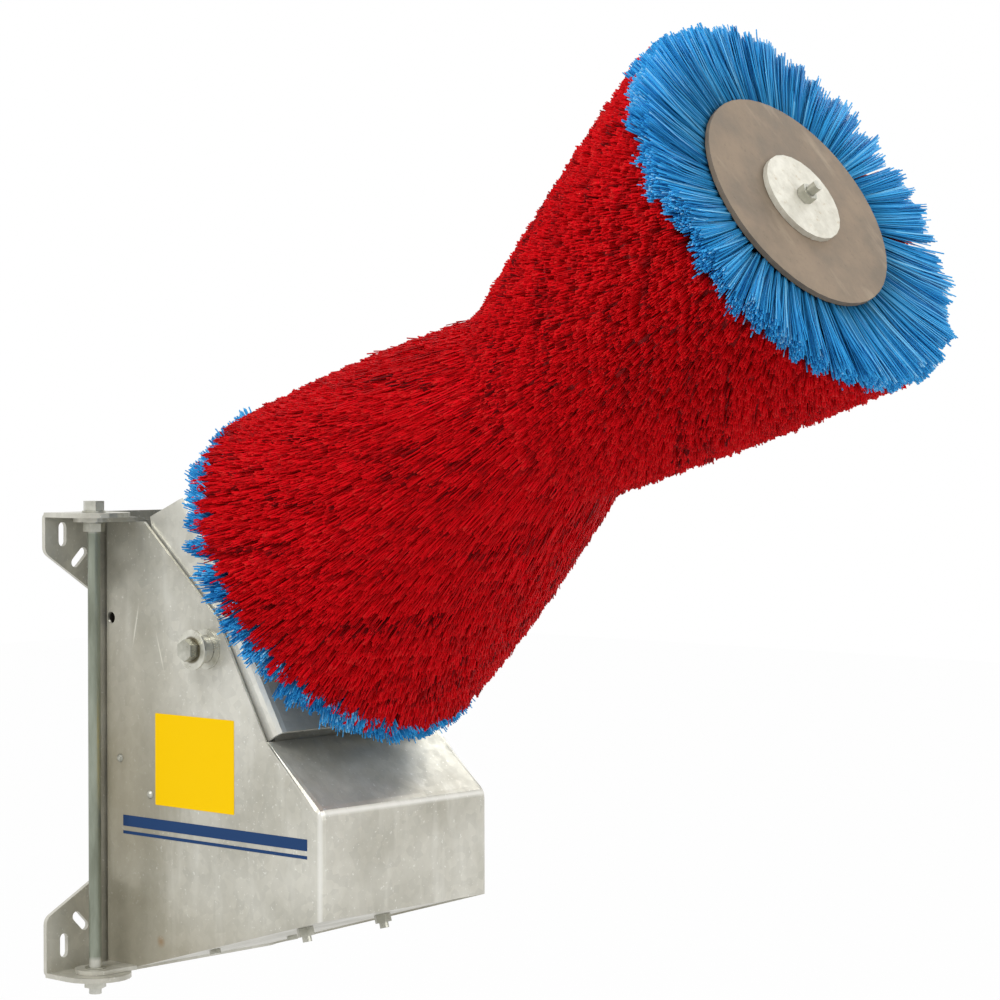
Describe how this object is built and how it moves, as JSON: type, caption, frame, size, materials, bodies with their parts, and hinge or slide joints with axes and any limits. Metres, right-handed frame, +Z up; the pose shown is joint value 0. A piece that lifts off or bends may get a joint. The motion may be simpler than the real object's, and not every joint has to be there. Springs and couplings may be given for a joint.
{
  "type": "rotating cow brush",
  "caption": "Wall-hung rotating livestock brush: an hourglass bristle roller driven from a tilting cradle in a galvanised housing that swings on a door-like hinge bolt.",
  "frame": {"origin": "centre of the wall plate's back face", "axes": "+X away from the wall, +Z up; Y = 0 is the middle plane of the housing and the brush; the hinge bolt is on the -Y side"},
  "size_m": [1.1171, 0.483, 1.1609],
  "materials": {
    "galvanised": "hot-dip galvanised sheet, dull with a faint spangle",
    "zinc": "bright zinc-plated fasteners and plates",
    "cast": "grey cast gear unit",
    "motor_grey": "dark grey machine paint",
    "dark_plastic": "black moulded plastic",
    "light_plastic": "light grey plastic",
    "rubber": "black rubber",
    "disc_board": "worn grey-brown pressed sheet",
    "red_bristle": "red nylon bristles",
    "blue_bristle": "blue nylon bristles"
  },
  "bodies": {
    "bracket": {"wall_bracket": "galvanised", "hinge_bolt": "zinc", "hinge_washer_top": "zinc", "hinge_washer_foot": "zinc", "hinge_nut": "zinc", "hinge_jam_nut": "zinc"},
    "housing": {"housing_shell": "galvanised", "hinge_lug_top": "galvanised", "hinge_lug_foot": "galvanised", "hinge_bush_top": "zinc", "hinge_bush_foot": "zinc", "bottom_cover": "galvanised", "cover_rail_front": "galvanised", "cover_rail_rear": "galvanised", "cover_bolt_front_left": "zinc", "cover_bolt_front_right": "zinc", "cover_bolt_rear_left": "zinc", "cover_bolt_rear_right": "zinc", "cable_gland": "dark_plastic", "gland_lock_nut": "dark_plastic", "control_box": "light_plastic", "control_box_lid": "light_plastic", "panel_screw_upper": "zinc", "panel_screw_lower": "zinc", "stop_bar": "galvanised", "stop_buffer_left": "rubber", "stop_buffer_right": "rubber", "pivot_washer_left": "zinc", "pivot_spacer_left": "galvanised", "pivot_cap_washer_left": "zinc", "pivot_bolt_left": "zinc", "pivot_nut_left": "zinc", "pivot_washer_right": "zinc", "pivot_spacer_right": "galvanised", "pivot_cap_washer_right": "zinc", "pivot_bolt_right": "zinc", "pivot_nut_right": "zinc"},
    "cradle": {"cradle_pan": "galvanised", "pivot_bush_left": "dark_plastic", "pivot_bush_right": "dark_plastic", "gearbox": "cast", "shaft_seal": "rubber", "gear_bolt_1": "zinc", "gear_bolt_2": "zinc", "gear_bolt_3": "zinc", "gear_bolt_4": "zinc", "motor_body": "motor_grey", "motor_cowl": "motor_grey", "terminal_box": "motor_grey", "tilt_switch": "dark_plastic"},
    "brush": {"drive_flange": "cast", "brush_shaft": "zinc", "brush_disc_lower": "disc_board", "brush_disc_upper": "disc_board", "hub_plate": "zinc", "stud_nut": "zinc", "core_tube": "light_plastic", "bristles_red": "red_bristle", "bristles_blue_lower": "blue_bristle", "bristles_blue_upper": "blue_bristle"}
  },
  "joints": [
    {"name": "swing", "type": "hinge", "parent": "bracket", "child": "housing", "pos_m": [0.046, -0.1955, 0], "axis": [0, 0, -1], "range_deg": [0, 80]},
    {"name": "tilt", "type": "hinge", "parent": "housing", "child": "cradle", "pos_m": [0.20501, 0, 0.1274], "axis": [0, -1, 0], "range_deg": [0, 15]},
    {"name": "brush_spin", "type": "hinge", "parent": "cradle", "child": "brush", "pos_m": [0.18724, 0, 0.15686], "axis": [0.8563, 0, 0.5165], "continuous": true}
  ]
}
